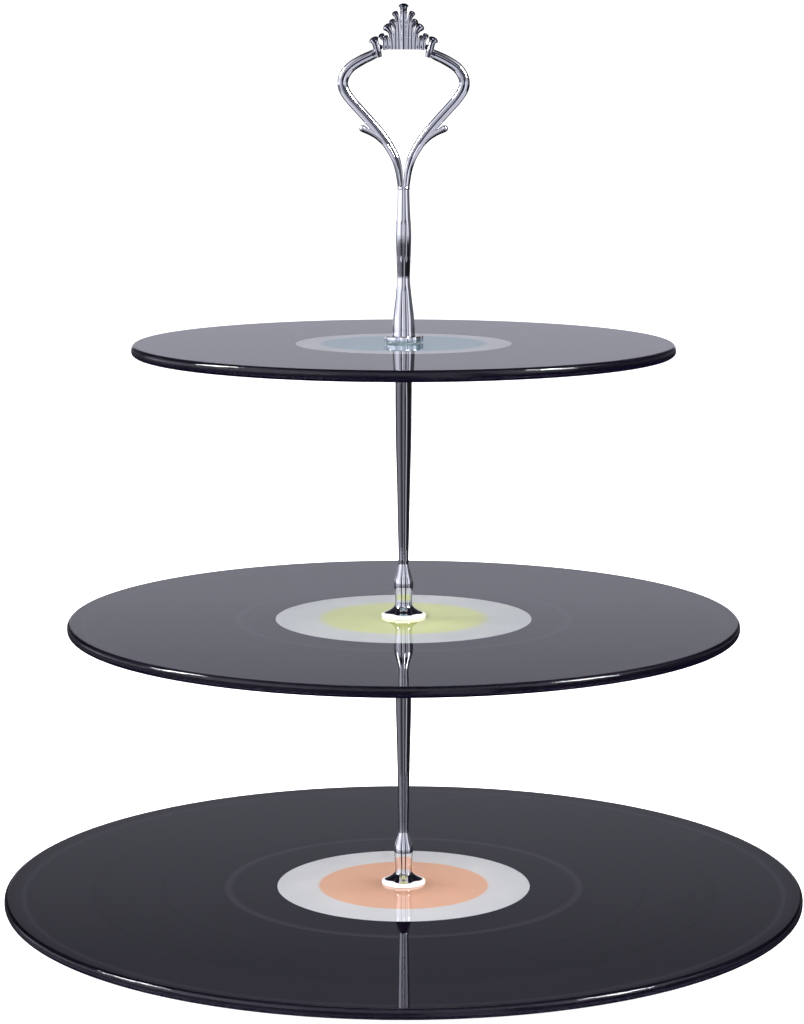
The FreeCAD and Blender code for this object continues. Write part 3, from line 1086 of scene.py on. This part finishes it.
@dataclass
class Feet:
    """The four bumper feet, turned once and copied to their places."""

    count: int = 4
    segments: int = 48
    seat_radius: float = 7.0 * MM
    tread_radius: float = 6.0 * MM
    rounding: float = 1.2 * MM
    skirt_height: float = 0.4 * MM
    dimple_share: float = 0.3
    dimple_rim_share: float = 0.35
    dimple_depth: float = 0.3 * MM

    def build(self) -> None:
        """Builds and dresses the feet."""
        material = FOOT_RUBBER.make()
        low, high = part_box("rubber_foot_1")
        outline = [(self.seat_radius, high.z), (self.seat_radius, high.z - self.skirt_height)]
        outline += reversed(arc((self.tread_radius - self.rounding, low.z + self.rounding), self.rounding,
                                -90, 5, 6))
        dimple = low.z + self.dimple_depth
        outline += [(self.dimple_rim_share * self.tread_radius, low.z),
                    (self.dimple_share * self.tread_radius, dimple), (0.0, dimple)]
        master = finish_piece(lathe("bumper_foot", outline, self.segments, False))
        for number in range(1, self.count + 1):
            node = f"rubber_foot_{number}"
            low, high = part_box(node)
            deselect_all()
            foot = master.copy()
            foot.data = master.data.copy()
            foot.name = foot.data.name = f"bumper_foot_{number}"
            bpy.context.scene.collection.objects.link(foot)
            foot.data.transform(Matrix.Translation(((low.x + high.x) / 2, (low.y + high.y) / 2, 0)))
            dress(foot, material)
            place(foot, "base", "foot_rubber", node)
        bpy.data.objects.remove(master)


# ---------------------------------------------------------------- studio
class Sky(Nodes):
    """The world's node tree, with short ways to mix the light that comes from all round."""

    def __init__(self) -> None:
        """Makes the world and finds the height, the depth and the compass direction of each way in it."""
        world = bpy.data.worlds.new("studio")
        bpy.context.scene.world = world
        world.use_nodes = True
        super().__init__(world.node_tree)
        split = self.add("ShaderNodeSeparateXYZ")
        self.wire(self.add("ShaderNodeTexCoord").outputs["Generated"], split.inputs["Vector"])
        flip = self.add("ShaderNodeMath", operation="MULTIPLY")
        flip.inputs[1].default_value = -1
        self.wire(split.outputs["Y"], flip.inputs[0])
        compass = self.add("ShaderNodeMath", operation="ARCTAN2")
        self.wire(split.outputs["X"], compass.inputs[0])
        self.wire(flip.outputs[0], compass.inputs[1])
        self.height, self.depth = split.outputs["Z"], split.outputs["Y"]
        self.way = self.step(compass.outputs[0], -math.pi, math.pi)
        self.seen = self.add("ShaderNodeLightPath").outputs["Is Camera Ray"]

    def step(self, value: Socket, low: float, high: float) -> Socket:
        """Maps low..high to 0..1, and nothing beyond either end."""
        node = self.add("ShaderNodeMapRange")
        node.inputs["From Min"].default_value = low
        node.inputs["From Max"].default_value = high
        self.wire(value, node.inputs["Value"])
        return node.outputs["Result"]

    def mix(self, share: Socket, first: Socket,
            second: Socket) -> Socket:
        """Blends two lights by a share."""
        node = self.add("ShaderNodeMix", data_type="RGBA")
        self.wire(share, node.inputs["Factor"])
        self.wire(first, node.inputs["A"])
        self.wire(second, node.inputs["B"])
        return node.outputs["Result"]

    def show(self, light: Socket) -> None:
        """Makes a light the world's own."""
        self.wire(light, self.tree.nodes["Background"].inputs["Color"])


@dataclass(frozen=True)
class Softbox:
    """One rectangular softbox: where it hangs, the point it faces, its size, and its power in watts."""

    name: str
    place: tuple[float, float, float]
    aim: tuple[float, float, float]
    size: tuple[float, float]
    power: float
    mirrored: bool = False

    def hang(self) -> None:
        """Hangs the softbox; only a mirrored one shows in glossy surfaces."""
        data = bpy.data.lights.new(self.name, "AREA")
        data.shape = "RECTANGLE"
        data.size, data.size_y = self.size
        data.energy = self.power
        lamp = bpy.data.objects.new(self.name, data)
        bpy.context.scene.collection.objects.link(lamp)
        lamp.location = self.place
        lamp.visible_glossy = self.mirrored
        lamp.rotation_euler = (Vector(self.aim) - Vector(self.place)).to_track_quat("-Z", "Y").to_euler()


@dataclass
class Studio:
    """Plain white floor, soft light and the camera."""

    eye_distance: float = 1.0822
    eye_left: float = 0.0006
    eye_above_top_plate: float = 0.1026
    pitch: float = 8.761
    lens: float = 102.0
    sensor_width: float = 36.0
    tint: Colour = (0.925, 0.935, 1.08)
    backdrop: tuple = ((0.0, 1.1), (1.0, 1.1))
    deep_span: tuple[float, float] = (-0.36, -0.5)
    horizon_span: tuple[float, float] = (-0.11, -0.03)
    high_span: tuple[float, float] = (0.33, 0.45)
    depth_span: tuple[float, float] = (-0.3, 0.5)
    floor_size: float = 400.0
    floor_glow: float = 0.9
    floor_greys: tuple = ((0.3, 0.9), (0.7, 0.92))
    floor_patches: float = 3.0
    floor_roughness: float = 0.9
    softboxes: tuple = (
        Softbox("left_softbox", (-1.3, 0, 1.0), (0, 0, 0.4), (0.34, 0.6), 20, mirrored=True),
        Softbox("right_softbox", (1.2, -0.487, 1.0), (0, 0, 0.4), (0.42, 0.6), 24, mirrored=True),
        Softbox("front_fill", (0, -1.7, 0.7), (0, 0, 0.1), (2.8, 1.0), 60),
        Softbox("left_fill", (-1.7, 0.2, 0.6), (0, 0, 0.1), (1.6, 0.9), 35),
        Softbox("right_fill", (1.7, 0.2, 0.6), (0, 0, 0.1), (1.6, 0.9), 35))
    back_light: tuple = ((0.0, 1.13), (0.03, 1.13), (0.06, 0.56), (0.11, 0.51), (0.18, 0.49), (0.23, 0.31),
                         (0.3, 0.14), (0.42, 0.2), (0.6, 0.35), (0.82, 0.3), (0.9, 0.06), (1.0, 0.05))
    front_light: tuple = ((0.0, 1.1), (0.3, 1.0), (0.5, 0.6), (0.8, 0.45), (0.9, 0.06), (1.0, 0.05))
    front_shade: tuple = ((0.0, 0.5), (0.14, 0.3), (0.19, 1.1), (0.4, 1.15), (0.44, 0.5), (0.5, 0.65),
                          (0.55, 0.55), (0.585, 0.12), (0.63, 0.95), (0.69, 0.95), (0.72, 0.08), (0.9, 0.05),
                          (1.0, 0.4))
    back_shade: tuple = ((0.0, 1.0), (0.034, 1.0), (0.046, 0.12), (0.11, 0.12), (0.15, 1.2), (0.3, 1.2),
                         (0.7, 0.2), (0.85, 0.12), (0.954, 0.12), (0.966, 1.0), (1.0, 1.0))
    high_shade: tuple = ((0.0, 0.1), (0.19, 0.1), (0.24, 2.3), (0.36, 1.8), (0.46, 1.0), (0.54, 1.0),
                         (0.64, 1.7), (0.76, 2.1), (0.81, 0.1), (1.0, 0.1))
    lower_light: tuple = ((0.0, 0.05), (0.1, 0.06), (0.18, 0.2), (0.29, 0.22), (0.4, 0.16), (0.45, 0.06),
                          (0.505, 0.07), (0.53, 0.5), (0.57, 0.45), (0.59, 0.03), (0.66, 0.01), (0.8, 0.01),
                          (0.92, 0.015), (1.0, 0.05))
    deep_light: tuple = ((0.0, 0.04), (0.19, 0.05), (0.24, 0.85), (0.4, 0.8), (0.47, 0.3), (0.53, 0.3),
                         (0.6, 0.65), (0.76, 0.7), (0.81, 0.05), (1.0, 0.04))

    def floor(self) -> None:
        """Lays the floor, which is clear from below so that the underside can be looked at."""
        deselect_all()
        bpy.ops.mesh.primitive_grid_add(x_subdivisions=8, y_subdivisions=8, size=self.floor_size)
        floor = bpy.context.active_object
        floor.name = "studio_floor"
        graph = Graph("studio_floor")
        graph.set(Specular_IOR_Level=0.0)
        graph.wire(graph.greys(graph.noise(self.floor_patches), self.floor_greys),
                   graph.shader.inputs["Base Color"])
        graph.set(Roughness=self.floor_roughness, Emission_Color=(1, 1, 1, 1),
                  Emission_Strength=self.floor_glow)
        through_below = graph.add("ShaderNodeMixShader")
        graph.wire(graph.add("ShaderNodeNewGeometry").outputs["Backfacing"], through_below.inputs[0])
        graph.wire(graph.shader.outputs[0], through_below.inputs[1])
        graph.wire(graph.add("ShaderNodeBsdfTransparent").outputs[0], through_below.inputs[2])
        graph.wire(through_below.outputs[0], graph.tree.nodes["Material Output"].inputs["Surface"])
        dress(floor, graph.material)
        floor.visible_glossy = False
        floor.visible_transmission = False

    def sky(self) -> None:
        """Sets the light from all round: by height above the horizon, and by direction at every height."""
        sky = Sky()
        height, way = sky.height, sky.way
        below = sky.mix(sky.step(height, *self.deep_span), sky.greys(way, self.lower_light, self.tint),
                        sky.greys(way, self.deep_light, self.tint))
        rise = sky.step(height, *self.high_span)
        high = sky.greys(way, self.high_shade)
        front = sky.shaded(sky.greys(height, self.front_light, self.tint),
                           sky.mix(rise, sky.greys(way, self.front_shade), high))
        back = sky.shaded(sky.greys(height, self.back_light, self.tint),
                          sky.mix(rise, sky.greys(way, self.back_shade), high))
        above = sky.mix(sky.step(sky.depth, *self.depth_span), front, back)
        light = sky.mix(sky.step(height, *self.horizon_span), below, above)
        sky.show(sky.mix(sky.seen, light, sky.greys(height, self.backdrop)))

    def camera(self) -> None:
        """Sets the camera in front of the stand, a little above the top plate."""
        data = bpy.data.cameras.new("camera")
        data.sensor_width = self.sensor_width
        data.lens = self.lens
        eye = bpy.data.objects.new("camera", data)
        bpy.context.scene.collection.objects.link(eye)
        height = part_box("top_plate")[1].z + self.eye_above_top_plate
        eye.location = (-self.eye_left, -self.eye_distance, height)
        eye.rotation_euler = (math.radians(90 - self.pitch), 0, 0)
        bpy.context.scene.camera = eye

    def build(self) -> None:
        """Sets the whole studio."""
        self.floor()
        self.sky()
        for softbox in self.softboxes:
            softbox.hang()
        self.camera()
        bpy.context.scene.view_settings.view_transform = "Standard"


# ---------------------------------------------------------------- the stand
@dataclass
class CakeStand:
    """The whole stand, tier by tier."""

    label_colours: dict = field(default_factory=lambda: {
        Tier.BOTTOM: LabelColours((0.85, 0.495, 0.35), (0.75, 0.745, 0.785), "label_peach", 0.03),
        Tier.MIDDLE: LabelColours((0.645, 0.66, 0.29), (0.595, 0.6, 0.615), "label_green", 0.12),
        Tier.TOP: LabelColours((0.192, 0.308, 0.375), (0.45, 0.445, 0.45), "label_blue", 0.06),
    })

    def plates(self) -> None:
        """Builds the three plates."""
        glass = PolishedGlass().make()
        for tier, colours in self.label_colours.items():
            Plate(tier, colours).build(glass)

    def post(self) -> None:
        """Builds the pillars and the handle."""
        chrome = CHROME.make()
        fluted = FLUTED_CHROME.make()
        Pillar("lower_pillar", "lower_post").build(fluted)
        Pillar("upper_pillar", "upper_post").build(fluted)
        CrownHandle().build(chrome, fluted)

    def washers(self) -> None:
        """Builds the washers."""
        Washer("base_plastic_washer", "base", "white_plastic", WHITE_PLASTIC).build()
        Washer("base_steel_washer", "base", "zinc_steel", ZINC_STEEL).build()
        Washer("lower_washer", "lower_washer", "white_plastic", WHITE_PLASTIC).build()
        Washer("middle_seat_washer", "lower_post", "white_plastic", WHITE_PLASTIC).build()
        Washer("upper_washer", "upper_washer", "white_plastic", WHITE_PLASTIC).build()
        Washer("top_seat_washer", "upper_post", "white_plastic", WHITE_PLASTIC).build()
        Washer("handle_washer", "handle_washer", "clear_plastic", CLEAR_PLASTIC).build()

    def threads(self) -> None:
        """Dresses the screw and the studs, whose own shapes are right."""
        steel = ZINC_STEEL.make()
        for node in ("base_screw", "lower_stud", "upper_stud"):
            dress(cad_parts[node], steel)

    def build(self) -> None:
        """Builds everything."""
        self.plates()
        self.post()
        self.washers()
        self.threads()
        Feet().build()


def main() -> None:
    """Builds the studio and the stand."""
    logging.basicConfig(level=logging.INFO, format="%(message)s")
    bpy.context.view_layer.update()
    Studio().build()
    CakeStand().build()


if __name__ == "__main__":
    main()
